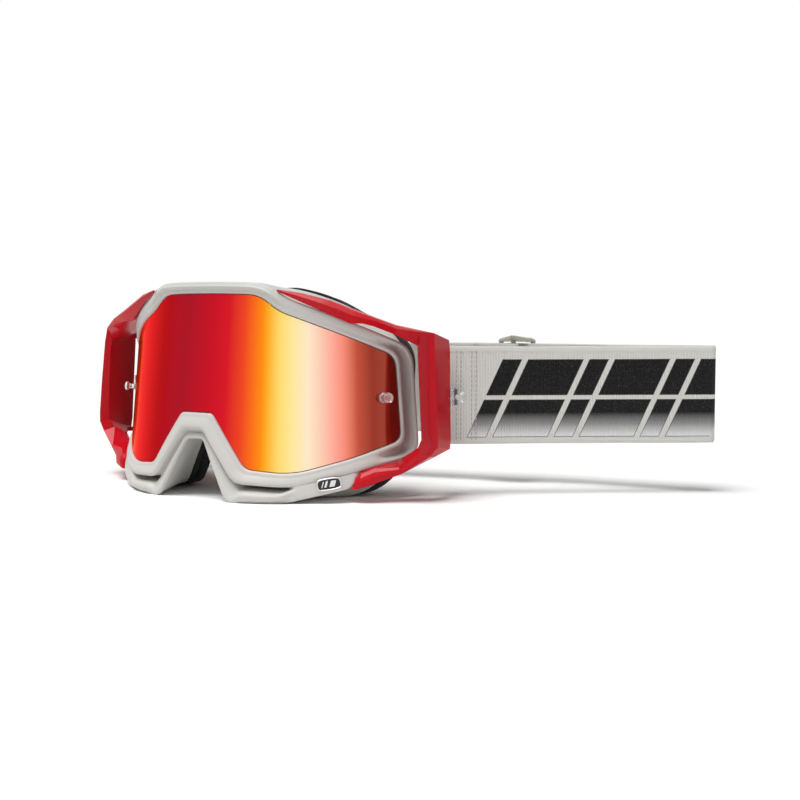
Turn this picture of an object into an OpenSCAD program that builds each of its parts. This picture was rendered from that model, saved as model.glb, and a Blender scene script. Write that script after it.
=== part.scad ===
// Motorcycle goggles: flexible frame, mirrored lens, outriggers, face foam and an elastic head strap.
// The goggles stand on their foam and nose lobes. +X is the viewer's right, the lens faces -Y, +Z is up.
// The origin is on the floor, in the middle plane, below the front of the lens.

/* [Lens] */
// Radius of the lens curve
lens_r = 92; // [90:0.5:95]
// Thickness of the lens
lens_t = 2; // [1.6:0.1:2.2]
// Gap between the lens and its seat in the frame
lens_gap = 0.3; // [0.25:0.05:0.4]
// Height of the lens middle above the floor
lens_z = 61; // [60.5:0.1:61.5]

/* [Frame and foam] */
// Depth of the frame behind the lens, in the middle
frame_depth = 26; // [25:0.5:27]
// Width of the ring of face foam
foam_w = 10; // [8:0.5:10]
// Thickness of the three foam layers together
foam_t = 12; // [9:0.5:12]

/* [Strap] */
// Width of the elastic strap
strap_w = 45; // [42:0.5:45]
// Thickness of the elastic strap
strap_t = 1.6; // [1.4:0.05:1.6]
// Length of the front run of the strap, from the outrigger to the fold
front_run = 126; // [120:1:150]
// Distance of the slider from the fold
slider_from_fold = 94; // [85:1:110]

/* [Posts] */
// Radius of a tear-off post's head
head_r = 2.2; // [2:0.1:2.4]
// Height of a tear-off post above the lens
post_h = 6.5; // [5.5:0.1:7]

/* [Hidden] */
$fn = 48;
lens_lean = 7;
red = "crimson";
grey = "gainsboro";
black = "dimgray";
clear = "lightcyan";

// ---- places ----
// A place near the lens is [arc from the middle, height, outward offset]
function on_lens(p) =
    let(a = p[0] / lens_r * 180 / PI, r = lens_r + p[2]) [r * sin(a), lens_r - r * cos(a), p[1]];
// A place near the face side is [x, height, distance behind the frame's back face]
face_curve = 175;
function on_face(p) = [p[0], frame_depth + p[0] * p[0] / face_curve + p[2], p[1]];
function leaned(p) =
    [p[0], p[1] * cos(lens_lean) + p[2] * sin(lens_lean),
     lens_z - p[1] * sin(lens_lean) + p[2] * cos(lens_lean)];
module lean() translate([0, 0, lens_z]) rotate([-lens_lean, 0, 0]) children();
// A row leaned into place, and flattened where it meets the floor
function standing(row) = [for (p = row) let(q = leaned(p)) [q[0], q[1], max(q[2], 0)]];
module right_and_left() {
    children();
    mirror([1, 0, 0]) children();
}

// ---- outlines ----
// Eight corners of one side, from brow to nose: [across, height, depth, cut of the corner]
lens_edge = [[29.5, 32.5, 0, 7], [36.6, 25.8, 0, 6], [92.6, 9.3, 0, 5], [98.4, -28.4, 0, 4.5],
             [76, -37.9, 0, 6], [49, -47.2, 0, 9], [27.2, -46.3, 0, 4], [8.8, -22, 0, 1.6]];
rim_edge = [[33, 37.8, 2, 9], [40.5, 31.6, 2, 6], [100.6, 13.9, 2, 8], [108, -34.5, 2, 7],
            [80, -43.4, 2, 6], [50, -53.2, 2, 9], [23, -53, 3, 5], [5.4, -29.7, 3, 2]];
groove_edge = [[33, 37.4, -1.4, 9], [40.5, 31.2, -1.4, 6], [101.5, 13.5, -1.6, 8], [108.5, -34, -1.6, 7],
               [79.5, -43.6, -1.6, 6], [49.5, -52.8, -1.6, 9], [23, -52.4, -0.4, 5], [5.4, -30.2, 0, 2]];
shelf_edge = [[33.4, 38.4, -4, 9], [41, 32.4, -4, 6], [101.5, 14.5, -4, 8], [109, -35, -4, 7],
              [79, -50.5, -3, 6], [44, -60.9, 1.4, 8], [19.8, -61.9, 2.2, 4], [4.6, -34, 0.6, 2]];
shelf_back = [[34, 38.8, -13, 9], [45, 33, -13, 6], [100, 15.5, -7, 8], [106, -35.5, -7, 7],
              [80, -51, -9, 6], [46, -58.4, -8, 8], [21.5, -58.6, -6, 4], [6.4, -32.8, -6, 2]];
face_edge = [[30, 39, 0, 12], [52, 32, 0, 8], [74, 18, 0, 10], [75, -37, 0, 11],
             [63, -55, 0, 9], [47, -57.4, 0, 9], [24.5, -56, -4, 6], [8.5, -31.6, -9, 3]];

corner_steps = 4;
side_steps = 4;
function unit(v) = v / norm(v);
function mix(a, b, t) = a * (1 - t) + b * t;
function both_sides(half) =
    concat(half, [for (i = [len(half) - 1:-1:0]) [-half[i][0], half[i][1], half[i][2], half[i][3]]]);
// An outline grown by d in its own plane and moved by n along its depth
function grown(ring, d, n) =
    let(m = len(ring))
    [for (i = [0:m - 1])
        let(p = ring[i], a = ring[(i + m - 1) % m], b = ring[(i + 1) % m],
            u = unit([p[0] - a[0], p[1] - a[1]]), v = unit([b[0] - p[0], b[1] - p[1]]),
            w = ([-u[1], u[0]] + [-v[1], v[0]]) / (1 + u * v))
        [p[0] + w[0] * d, p[1] + w[1] * d, p[2] + n, p[3]]];
// A closed row of points: a curve at each corner and even steps between corners
function traced(ring) =
    let(m = len(ring), at = [for (p = ring) [p[0], p[1], p[2]]],
        ins = [for (i = [0:m - 1]) at[i] + ring[i][3] * unit(at[(i + m - 1) % m] - at[i])],
        outs = [for (i = [0:m - 1]) at[i] + ring[i][3] * unit(at[(i + 1) % m] - at[i])])
    [for (i = [0:m - 1]) each concat(
        [for (k = [0:corner_steps]) let(t = k / corner_steps)
            mix(mix(ins[i], at[i], t), mix(at[i], outs[i], t), t)],
        [for (k = [1:side_steps - 1]) mix(outs[i], ins[(i + 1) % m], k / side_steps)])];
function flat_ring(half, d = 0, n = 0) = traced(grown(both_sides(half), d, n));
function lens_ring(half, d = 0, n = 0) = [for (p = flat_ring(half, d, n)) on_lens(p)];
function face_ring(half, d = 0, n = 0) = [for (p = flat_ring(half, d, n)) on_face(p)];
// A row moved straight back onto a cylinder that is deeper than the lens front
function straight_behind(row, depth) =
    [for (p = row) [p[0], lens_r - sqrt(pow(lens_r - depth, 2) - p[0] * p[0]), p[2]]];
// The row part of the way from one lens row to another
function between(ring_a, ring_b, t, n) =
    [for (i = [0:len(ring_a) - 1]) on_lens(mix(ring_a[i], ring_b[i], t) + [0, 0, n])];

// ---- solids from rows of points ----
// A ring whose section goes once round all the rows
module ring_solid(rows) {
    n = len(rows[0]);
    m = len(rows);
    polyhedron(points = [for (r = rows) each r], convexity = 8,
        faces = [for (j = [0:m - 1]) for (i = [0:n - 1])
            let(a = j * n + i, b = j * n + (i + 1) % n,
                c = ((j + 1) % m) * n + (i + 1) % n, d = ((j + 1) % m) * n + i)
            each [[a, c, b], [a, d, c]]]);
}
// A bar through a row of sections, closed by its first and last one
module bar_solid(sections) {
    n = len(sections[0]);
    m = len(sections);
    polyhedron(points = [for (r = sections) each r], convexity = 8,
        faces = concat(
            [[for (i = [n - 1:-1:0]) i]],
            [[for (i = [0:n - 1]) (m - 1) * n + i]],
            [for (j = [0:m - 2]) for (i = [0:n - 1])
                let(a = j * n + i, b = j * n + (i + 1) % n,
                    c = (j + 1) * n + (i + 1) % n, d = (j + 1) * n + i)
                each [[a, b, c], [a, c, d]]]));
}
// A strip that follows the lens curve: each station is [arc, low, high, inner offset, outer offset]
module lens_strip(stations)
    bar_solid([for (q = stations)
        [on_lens([q[0], q[1], q[3]]), on_lens([q[0], q[1], q[4]]),
         on_lens([q[0], q[2], q[4]]), on_lens([q[0], q[2], q[3]])]]);

// ---- frame ----
seat = lens_t + lens_gap;
seat_w = 3;
wall = 2;
module frame_shell() ring_solid([for (row = [
    lens_ring(lens_edge, 0, 0.2),
    lens_ring(lens_edge, 0.5, 1.4),
    between(flat_ring(lens_edge), flat_ring(rim_edge), 0.5, 1.8),
    lens_ring(rim_edge, -0.8, 0.4),
    lens_ring(rim_edge, 0, -0.7),
    lens_ring(groove_edge),
    lens_ring(shelf_edge),
    lens_ring(shelf_back),
    face_ring(face_edge, 0, -wall),
    face_ring(face_edge),
    face_ring(face_edge, -foam_w),
    face_ring(face_edge, -foam_w, -wall),
    face_ring(face_edge, -3.4, -wall),
    lens_ring(shelf_back, -2.6, -1.5),
    lens_ring(lens_edge, 0.5, -6.8),
    lens_ring(lens_edge, -seat_w, -4.8),
    lens_ring(lens_edge, -seat_w, -seat - gasket_t),
    lens_ring(lens_edge, -0.5, -seat - gasket_t),
    lens_ring(lens_edge, -0.5, -seat),
    straight_behind(lens_ring(lens_edge), seat)]) standing(row)]);
// The cheek pad that carries the badge and ends the vent slot
module cheek_pad() lens_strip([
    [47, -54, -50, -4, 1.8], [50, -58.6, -48, -5, 2.6], [56, -58, -47, -5, 2.8],
    [64, -55.8, -44, -5, 2.8], [71, -53.4, -42, -5, 2.4], [78, -50.8, -42, -5, 2]]);
module vent_slot() lens_strip([
    [23, -53.8, -53.2, -9, 8], [27, -55.4, -53, -9, 8], [34, -55.2, -52.8, -9, 8],
    [40, -54.8, -52.8, -9, 8], [46, -53.8, -53, -9, 8]]);
// Slots through the roof, behind the brow: [first and last x]
roof_vents = [[3, 13], [17, 27]];
module frame() color(grey) difference() {
    union() {
        frame_shell();
        lean() right_and_left() cheek_pad();
    }
    lean() right_and_left() {
        vent_slot();
        for (v = roof_vents) hull() for (x = [v[0] + 1.5, v[1] - 1.5]) for (y = [8, 16])
            translate([x, y + x * x / 200, 28]) cylinder(r = 1.5, h = 20, $fn = 12);
    }
}

// ---- lens, gasket and tear-off posts ----
gasket_t = 0.8;
module lens_sheet() intersection() {
    translate([0, lens_r, -60]) difference() {
        cylinder(r = lens_r, h = 110, $fn = 128);
        translate([0, 0, -1]) cylinder(r = lens_r - lens_t, h = 112, $fn = 128);
    }
    translate([0, lens_r * 0.75, 0]) rotate([90, 0, 0]) linear_extrude(lens_r)
        polygon([for (p = lens_ring(lens_edge, -lens_gap)) [p[0], p[2]]]);
}
post_arc = 88.5;
post_up = -10;
module post_place() translate([0, lens_r, post_up]) rotate([0, 0, post_arc / lens_r * 180 / PI])
    translate([0, -lens_r, 0]) rotate([90, 0, 0]) children();
stem_r = 1.3;
hole_r = 1.36;
module lens() color("orangered") lean() difference() {
    lens_sheet();
    right_and_left() post_place() cylinder(r = hole_r, h = 20, center = true);
}
module lens_gasket() color(black) lean() ring_solid([
    lens_ring(lens_edge, -0.6, -seat), lens_ring(lens_edge, -0.6, -seat - gasket_t),
    lens_ring(lens_edge, -seat_w, -seat - gasket_t), lens_ring(lens_edge, -seat_w, -seat)]);
washer_t = 1;
module tear_off_post() color(clear) lean() post_place() {
    translate([0, 0, 0.05]) cylinder(r = 2.6, h = 1);
    translate([0, 0, -lens_t - washer_t]) cylinder(r = stem_r, h = post_h + lens_t + washer_t);
    translate([0, 0, post_h - 1.8]) cylinder(r = head_r, h = 1.8);
}
module post_washer() color(clear) lean() post_place()
    translate([0, 0, -lens_t - washer_t - 0.05]) difference() {
        cylinder(r = 2.8, h = washer_t);
        translate([0, 0, -1]) cylinder(r = hole_r, h = 4);
    }

// ---- outriggers ----
// Each section has five corners: front outer, outer ridge, rear outer, rear inner, front inner
arm_high = [
    [[37.2, 34.6, 2.8], [37.2, 34.9, 2.2], [37.2, 34.7, 1.4], [37.2, 34, 1.4], [37.2, 33.8, 2.2]],
    [[47.9, 33.3, 3.8], [48.2, 33.9, 2], [48.6, 33.4, -1], [48.6, 31.6, -1], [48, 29.8, 2.4]],
    [[60.7, 30.3, 5.4], [61.3, 31.5, 2.4], [62.5, 31, -2.4], [62.5, 28.6, -2.4], [61, 25.2, 2.8]],
    [[69.3, 26.8, 9], [70.5, 28.4, 4.6], [73, 28.4, -3], [73, 25.8, -3], [70, 22.4, 4]],
    [[78.3, 23.3, 13.6], [80, 25.2, 7], [84, 25.4, -3], [84, 22.5, -3], [78, 19.6, 7]],
    [[85.5, 20.6, 16.5], [88.5, 22.8, 9], [95, 22.4, -1], [94, 19.5, -1], [87, 17.6, 9]]];
panel = [
    [[95.5, 37.5, 15], [99.2, 44, 14], [98, 57.5, 10], [94.8, 57.5, 9.4], [92.6, 38.6, 10.4]],
    [[98.7, 33.6, -33], [102, 42, -35.6], [100.2, 55.6, -37.8], [97, 55.8, -37.4], [95.6, 37.4, -31.8]],
    [[96.5, 34, -38], [98.5, 40, -40.4], [97, 47.5, -41], [91, 46.5, -40], [93, 38.6, -36.4]]];
arm_low = [
    [[92.5, -39, 11.5], [93.5, -41.5, 12], [94.7, -43, 10], [97, -43.4, 2], [95, -37.4, 2]],
    [[84.5, -39.8, 5], [83.5, -44.5, 7.4], [82, -48.4, 7], [84, -48.4, 1], [86, -39.4, 1]],
    [[76.8, -46.2, 3.6], [76.3, -49, 4], [75.9, -51.8, 3.4], [75.9, -51.8, 1], [76.8, -46.2, 1]]];
function arm_points(rows) = [for (r = rows) [for (p = r) leaned(on_lens(p))]];
function panel_points(rows) = [for (r = rows) [for (p = r) p + [0, 0, lens_z]]];
bar_at = [88.5, 64];
bar_r = 2;
bar_ends = [-40.5, 12.5];
bridge_h = 3;
strap_z = lens_z - 14.4;
// A bridge from the panel's end to the strap bar
module bridge(z) hull() {
    translate([bar_at[0], bar_at[1], z]) cylinder(r = bar_r + 0.4, h = bridge_h);
    translate([96, 50, z]) cylinder(r = 2.2, h = bridge_h);
}
module outrigger() color(red) {
    bar_solid(concat(arm_points(arm_high), panel_points(panel), arm_points(arm_low)));
    translate([bar_at[0], bar_at[1], lens_z + bar_ends[0]]) cylinder(r = bar_r, h = bar_ends[1] - bar_ends[0]);
    translate([0, 0, lens_z]) {
        bridge(bar_ends[0]);
        bridge(bar_ends[1] - bridge_h);
    }
}
// A clear post for the pull tab of a tear-off film, clipped on the panel's rear edge
tab_at = [95.6, 56.4, -14.6];
module tab_post() color(clear) translate(tab_at + [0, 0, lens_z]) {
    translate([0.2, 0.6, -4]) cube([4.4, 3, 8]);
    translate([4.6, -1.6, -4.5]) cube([1.2, 5.2, 9]);
    translate([5.8, 1.4, 0]) rotate([0, 90, 0]) cylinder(r = stem_r, h = 3.2);
    translate([8.8, 1.4, 0]) rotate([0, 90, 0]) cylinder(r = head_r, h = 1.6);
}

// ---- foams ----
fleece_t = 2;
middle_t = (foam_t - fleece_t) * 0.6;
module foam_layer(near, far, inset) ring_solid([for (row = [
    face_ring(face_edge, -inset, near),
    face_ring(face_edge, -inset - 0.4, far),
    face_ring(face_edge, -foam_w + inset + 0.4, far),
    face_ring(face_edge, -foam_w + inset, near)]) standing(row)]);
base_t = foam_t - fleece_t - middle_t;
module foam_base() color(black) foam_layer(0, base_t, 0.4);
module foam_middle() color(black) foam_layer(base_t, base_t + middle_t, 0.8);
module foam_fleece() color(black) foam_layer(base_t + middle_t, foam_t, 1.2);
module vent_foam_top() color(black) lean() lens_strip([
    for (s = [-32:8:32]) [s, 33, 35, -20, -9]]);
module vent_foam_low() color(black) lean() lens_strip([
    for (s = [27:6:45]) [s, -50, -48, -17, -8]]);

// ---- strap ----
// All runs are seen from above. A run lies on the circles that it wraps.
wrap_r = bar_r + 0.05 + strap_t / 2;
fold_r = 2.6;
front_angle = 35.5;
function along(a) = [cos(a), sin(a)];
function across(a) = [-sin(a), cos(a)];
fold_at = bar_at + front_run * along(front_angle) + (fold_r - wrap_r) * across(front_angle);
left_bar = [-bar_at[0], bar_at[1]];
stub_angle = 72.5;
stub = 6;
bend_r = 25;
tail_bend_r = bend_r - 2 * wrap_r;
bend_at = left_bar + stub * along(stub_angle) + (wrap_r + tail_bend_r) * [sin(stub_angle), -cos(stub_angle)];
fold_gap = fold_at - bend_at;
back_angle = atan2(fold_gap[1], fold_gap[0]) - asin((bend_r - fold_r) / norm(fold_gap));
back_end = fold_at + fold_r * across(back_angle);
slider_at = back_end - slider_from_fold * along(back_angle);
post_gap = 0.3;
slider_bar_r = 1.2;
loop_r = slider_bar_r + 0.05 + strap_t / 2;
loop_side = -(strap_t + post_gap) - loop_r;
loop_at = slider_at + loop_side * across(back_angle);
tail_gap = loop_at - bend_at;
tail_angle = atan2(tail_gap[1], tail_gap[0]) - asin((tail_bend_r - loop_r) / norm(tail_gap));
sewn = 16;

// Points round a centre, from one angle to another
function arc(centre, r, from, to) =
    let(steps = ceil(abs(to - from) / 7.5))
    [for (k = [0:steps]) centre + r * along(from + (to - from) * k / steps)];
// One side of the band, o away from its middle line. The band turns the same way at every bend.
function band_side(o) = concat(
    [bar_at + (wrap_r + o) * across(front_angle) + sewn * along(front_angle)],
    arc(bar_at, wrap_r + o, front_angle + 90, front_angle + 270),
    arc(fold_at, fold_r + o, front_angle - 90, back_angle + 90),
    arc(bend_at, bend_r + o, back_angle + 90, stub_angle + 90),
    arc(left_bar, wrap_r + o, stub_angle + 90, stub_angle + 270),
    [bend_at + (tail_bend_r - o) * across(stub_angle)]);
function tail_side(o) = concat(
    arc(bend_at, tail_bend_r + o, stub_angle + 90, tail_angle + 90),
    arc(loop_at, loop_r + o, tail_angle + 90, tail_angle - 90),
    [loop_at - (loop_r + o) * across(tail_angle) - sewn * along(tail_angle)]);
module webbing(one_side, other_side) translate([0, 0, strap_z - strap_w / 2]) linear_extrude(strap_w)
    polygon(concat(one_side, [for (i = [len(other_side) - 1:-1:0]) other_side[i]]));
module strap_band() color(grey) webbing(band_side(strap_t / 2), band_side(-strap_t / 2));
module strap_tail() color(grey) webbing(tail_side(strap_t / 2), tail_side(-strap_t / 2));
// A thin straight line from a to b
module line(a, b, t) {
    v = b - a;
    translate(a) rotate(atan2(v[1], v[0])) translate([0, -t / 2]) square([norm(v), t]);
}
// Rubbery lines along the inside of the front run
grip_rows = [-15, 0, 15];
module strap_grips() color("silver") for (z = grip_rows) translate([0, 0, strap_z + z - 1.5])
    linear_extrude(3) {
        side = (strap_t / 2 + 0.25 - wrap_r) * across(front_angle);
        line(bar_at + side + 34 * along(front_angle), bar_at + side + (front_run - 12) * along(front_angle), 0.5);
    }
// Thread through the sewn end at the right outrigger
stitch_x = [8, 11, 14];
module end_stitches() color("white") for (t = stitch_x) for (z = [-18:4:18])
    translate([0, 0, strap_z + z]) linear_extrude(2.4)
        line(bar_at + t * along(front_angle) - (wrap_r + strap_t / 2 + 0.2) * across(front_angle),
            bar_at + t * along(front_angle) + (wrap_r + strap_t / 2 + 0.2) * across(front_angle), 0.5);
// Two outer bars pass behind the strap, and the centre bar holds the end of the tail
outer_bar_y = strap_t / 2 + post_gap + slider_bar_r;
slider_h = 53;
slider_w = 19;
module slider_plate() translate([0, 0, strap_w / 2 + 0.4]) linear_extrude((slider_h - strap_w) / 2 - 0.4)
    hull() {
        for (x = [-1, 1] * (slider_w / 2 - 1.4)) translate([x, outer_bar_y]) circle(r = 1.4);
        translate([0, loop_side]) circle(r = 1.9);
    }
module strap_slider() color("beige") translate([slider_at[0], slider_at[1], strap_z]) rotate(back_angle) {
    slider_plate();
    mirror([0, 0, 1]) slider_plate();
    for (p = [[-slider_w / 2 + 1.4, outer_bar_y], [slider_w / 2 - 1.4, outer_bar_y], [0, loop_side]])
        translate([p[0], p[1], -strap_w / 2 - 1]) cylinder(r = slider_bar_r, h = strap_w + 2);
}

// ---- badge ----
// A rounded plate on the right cheek pad
badge_arc = 65.5;
badge_up = -50;
badge_turn = 12;
module badge_shape(d) offset(r = 1.2 + d) polygon([[-4.4, -1.2], [-3.4, -1.8], [3.8, -1.8],
    [4.5, -0.8], [4.3, 1.2], [3, 1.7], [-3.6, 1.7], [-4.5, 0.6]]);
module badge_place() lean() translate([0, lens_r, badge_up]) rotate([0, 0, badge_arc / lens_r * 180 / PI])
    translate([0, -lens_r - 2.7, 0]) rotate([90, 0, 0]) rotate([0, 0, badge_turn]) children();
module badge_bezel() color("silver") badge_place() difference() {
    linear_extrude(1) badge_shape(0);
    translate([0, 0, 0.4]) linear_extrude(2) badge_shape(-0.5);
}
module badge_plate() color("black") badge_place() translate([0, 0, 0.4]) linear_extrude(0.5) badge_shape(-0.6);

frame();
lens();
lens_gasket();
mirror([1, 0, 0]) tear_off_post();  // tear_off_post_left
tear_off_post();  // tear_off_post_right
mirror([1, 0, 0]) post_washer();  // post_washer_left
post_washer();  // post_washer_right
mirror([1, 0, 0]) outrigger();  // outrigger_left
outrigger();  // outrigger_right
mirror([1, 0, 0]) tab_post();  // tab_post_left
tab_post();  // tab_post_right
foam_base();
foam_middle();
foam_fleece();
vent_foam_top();
mirror([1, 0, 0]) vent_foam_low();  // vent_foam_low_left
vent_foam_low();  // vent_foam_low_right
strap_band();
strap_tail();
strap_grips();
end_stitches();
strap_slider();
badge_bezel();
badge_plate();
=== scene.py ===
"""Motorcycle goggles with a mirrored lens, outriggers, layered face foam and an elastic strap.

Lengths in this script are in millimetres until a mesh is finished, and then in metres.
"""
import math

import bmesh
import bpy
from mathutils import Matrix, Vector, noise


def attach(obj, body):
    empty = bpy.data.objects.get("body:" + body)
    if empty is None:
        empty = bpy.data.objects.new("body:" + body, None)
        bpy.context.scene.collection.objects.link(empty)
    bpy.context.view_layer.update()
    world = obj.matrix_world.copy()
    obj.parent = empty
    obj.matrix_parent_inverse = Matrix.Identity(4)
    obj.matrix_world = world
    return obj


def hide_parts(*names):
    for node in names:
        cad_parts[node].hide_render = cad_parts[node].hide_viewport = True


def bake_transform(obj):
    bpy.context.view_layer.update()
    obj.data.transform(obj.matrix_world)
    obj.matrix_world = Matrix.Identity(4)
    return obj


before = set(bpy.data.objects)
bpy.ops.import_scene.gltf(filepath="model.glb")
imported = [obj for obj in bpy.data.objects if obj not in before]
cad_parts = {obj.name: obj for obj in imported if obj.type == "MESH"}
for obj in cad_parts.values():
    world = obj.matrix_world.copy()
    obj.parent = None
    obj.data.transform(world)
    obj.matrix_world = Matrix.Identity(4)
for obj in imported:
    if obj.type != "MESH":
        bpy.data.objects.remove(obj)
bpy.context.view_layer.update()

# A fixed seed, so that the foams come out the same each time
noise.seed_set(1)

MM = 0.001
ROOT, LENS_BODY, SLIDER_BODY = "goggles", "lens_unit", "slider"
SIDES = ((-1, "left"), (1, "right"))

# ---------------------------------------------------------------- camera
EYE = Vector((400.0, -455.8, 89.0)) * MM
EYE_TURN, EYE_DROP = math.radians(32.62), math.radians(4.23)
camera = bpy.data.objects.new("camera", bpy.data.cameras.new("camera"))
bpy.context.scene.collection.objects.link(camera)
bpy.context.scene.camera = camera
camera.data.lens = 59.12
camera.data.sensor_width = 36.0
camera.data.clip_start = 0.01
camera.location = EYE
camera.rotation_euler = (math.pi / 2 - EYE_DROP, 0.0, EYE_TURN)

# ---------------------------------------------------------------- places
LENS_R, LENS_T, LENS_Z = 92.0, 2.0, 61.0
LEAN = math.radians(7)
FACE_DEPTH, FACE_CURVE = 26.0, 175.0
FOAM_W, FOAM_T, FLEECE_T = 10.0, 12.0, 2.0


def leaned(x, y, h):
    """The place across, behind and above the lens middle, with the lens leaning back."""
    return Vector((x, y * math.cos(LEAN) + h * math.sin(LEAN),
                   LENS_Z - y * math.sin(LEAN) + h * math.cos(LEAN)))


def on_lens(p):
    """The place at an arc, a height and an outward offset from the lens front."""
    a, r = p[0] / LENS_R, LENS_R + p[2]
    return leaned(r * math.sin(a), LENS_R - r * math.cos(a), p[1])


def behind_lens(p, depth):
    """The place straight behind a point of the lens front, on a deeper cylinder."""
    x = LENS_R * math.sin(p[0] / LENS_R)
    return leaned(x, LENS_R - math.sqrt((LENS_R - depth) ** 2 - x * x), p[1])


def on_face(p):
    """The place at a width, a height and a depth behind the frame's back face."""
    return leaned(p[0], FACE_DEPTH + p[0] ** 2 / FACE_CURVE + p[2], p[1])


def up(x, y, z):
    """A place in the outrigger's own numbers, whose heights are counted from the lens middle."""
    return Vector((x, y, z + LENS_Z))


def step(low, high, value):
    """Smoothly from 0 at low to 1 at high."""
    t = min(1.0, max(0.0, (value - low) / (high - low)))
    return t * t * (3 - 2 * t)


def mix(a, b, t):
    """Part of the way from a to b."""
    return a * (1 - t) + b * t


# ---------------------------------------------------------------- outlines
# Eight corners of one side, from brow to nose: across, height, depth, cut of the corner
LENS_EDGE = [(29.5, 32.5, 0, 7), (36.6, 25.8, 0, 6), (92.6, 9.3, 0, 5), (98.4, -28.4, 0, 4.5),
             (76, -37.9, 0, 6), (49, -47.2, 0, 9), (27.2, -46.3, 0, 4), (8.8, -22, 0, 1.6)]
RIM_EDGE = [(33, 37.8, 2, 9), (40.5, 31.6, 2, 6), (100.6, 13.9, 2, 8), (108, -34.5, 2, 7),
            (80, -43.4, 2, 6), (50, -53.2, 2, 9), (23, -53, 3, 5), (5.4, -29.7, 3, 2)]
GROOVE_EDGE = [(33, 37.4, -1.4, 9), (40.5, 31.2, -1.4, 6), (101.5, 13.5, -1.6, 8), (108.5, -34, -1.6, 7),
               (79.5, -43.6, -1.6, 6), (49.5, -52.8, -1.6, 9), (23, -52.4, -0.4, 5), (5.4, -30.2, 0, 2)]
SHELF_EDGE = [(33.4, 38.4, -4, 9), (41, 32.4, -4, 6), (101.5, 14.5, -4, 8), (109, -35, -4, 7),
              (79, -50.5, -3, 6), (44, -60.9, 1.4, 8), (19.8, -61.9, 2.2, 4), (4.6, -34, 0.6, 2)]
SHELF_BACK = [(34, 38.8, -13, 9), (45, 33, -13, 6), (100, 15.5, -7, 8), (106, -35.5, -7, 7),
              (80, -51, -9, 6), (46, -58.4, -8, 8), (21.5, -58.6, -6, 4), (6.4, -32.8, -6, 2)]
FACE_EDGE = [(30, 39, 0, 12), (52, 32, 0, 8), (74, 18, 0, 10), (75, -37, 0, 11),
             (63, -55, 0, 9), (47, -57.4, 0, 9), (24.5, -56, -4, 6), (8.5, -31.6, -9, 3)]
CORNER_STEPS, SIDE_STEPS = 8, 8


def grown(half, d, n):
    """Both sides of an outline, grown by d in its own plane and moved by n along its depth."""
    ring = [list(c) for c in half] + [[-c[0]] + list(c[1:]) for c in reversed(half)]
    out = []
    for i, c in enumerate(ring):
        here = Vector(c[:2])
        u = (here - Vector(ring[i - 1][:2])).normalized()
        v = (Vector(ring[(i + 1) % len(ring)][:2]) - here).normalized()
        w = Vector((-u.y - v.y, u.x + v.x)) / (1 + u.dot(v))
        out.append((Vector((c[0] + w.x * d, c[1] + w.y * d, c[2] + n)), c[3]))
    return out


def traced(half, d=0.0, n=0.0):
    """A closed row of points: a curve at each corner and even steps between corners."""
    ring = grown(half, d, n)
    count = len(ring)
    into, out_of = [], []
    for i, (c, cut) in enumerate(ring):
        into.append(c + cut * (ring[i - 1][0] - c).normalized())
        out_of.append(c + cut * (ring[(i + 1) % count][0] - c).normalized())
    row = []
    for i, (c, cut) in enumerate(ring):
        for k in range(CORNER_STEPS + 1):
            t = k / CORNER_STEPS
            row.append(mix(mix(into[i], c, t), mix(c, out_of[i], t), t))
        for k in range(1, SIDE_STEPS):
            row.append(mix(out_of[i], into[(i + 1) % count], k / SIDE_STEPS))
    return row


# ---------------------------------------------------------------- meshes
def loop(bm, points, closed=True):
    """Vertices at the points, joined by edges; gives the edges."""
    verts = [bm.verts.new(Vector(p) * MM) for p in points]
    pairs = list(zip(verts, verts[1:])) + ([(verts[-1], verts[0])] if closed else [])
    return [bm.edges.new(pair) for pair in pairs]


def bridge_rows(bm, rows, closed=True, round_again=False):
    """A skin through rows of points."""
    edges = [loop(bm, row, closed) for row in rows]
    pairs = list(zip(edges, edges[1:])) + ([(edges[-1], edges[0])] if round_again else [])
    for a, b in pairs:
        bmesh.ops.bridge_loops(bm, edges=a + b)
    return edges


def cap(bm, edges):
    """A flat face across a loop of edges."""
    bmesh.ops.contextual_create(bm, geom=edges)


def capped_rows(bm, rows):
    """A skin through rows of points, closed at both ends."""
    edges = bridge_rows(bm, rows)
    cap(bm, edges[0])
    cap(bm, edges[-1])


def to_side(bm, side):
    """Mirrors a right-hand mesh when the side is the left one."""
    if side < 0:
        bmesh.ops.transform(bm, matrix=Matrix.Scale(-1, 4, (1, 0, 0)), verts=bm.verts[:])


def finish_mesh(bm, name, finish):
    """Turns a bmesh into a named piece with one material."""
    bmesh.ops.recalc_face_normals(bm, faces=bm.faces[:])
    mesh = bpy.data.meshes.new(name)
    bm.to_mesh(mesh)
    bm.free()
    mesh.materials.append(finish)
    for face in mesh.polygons:
        face.use_smooth = True
    piece = bpy.data.objects.new(name, mesh)
    bpy.context.scene.collection.objects.link(piece)
    return piece


def rounded(piece, width, segments, angle):
    """A small bevel on a piece's sharp edges."""
    bevel = piece.modifiers.new("bevel", "BEVEL")
    bevel.width = width * MM
    bevel.segments = segments
    bevel.limit_method = "ANGLE"
    bevel.angle_limit = math.radians(angle)
    bevel.harden_normals = True


def subdivided(piece, levels):
    """A smooth surface through a piece's mesh."""
    sub = piece.modifiers.new("subdivision", "SUBSURF")
    sub.levels = levels
    sub.render_levels = levels


def place(piece, body, slot_name, *nodes):
    """Gives a piece its body and the nodes it stands for; slot_name is not used."""
    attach(piece, body)
    if nodes:
        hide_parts(*nodes)


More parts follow.
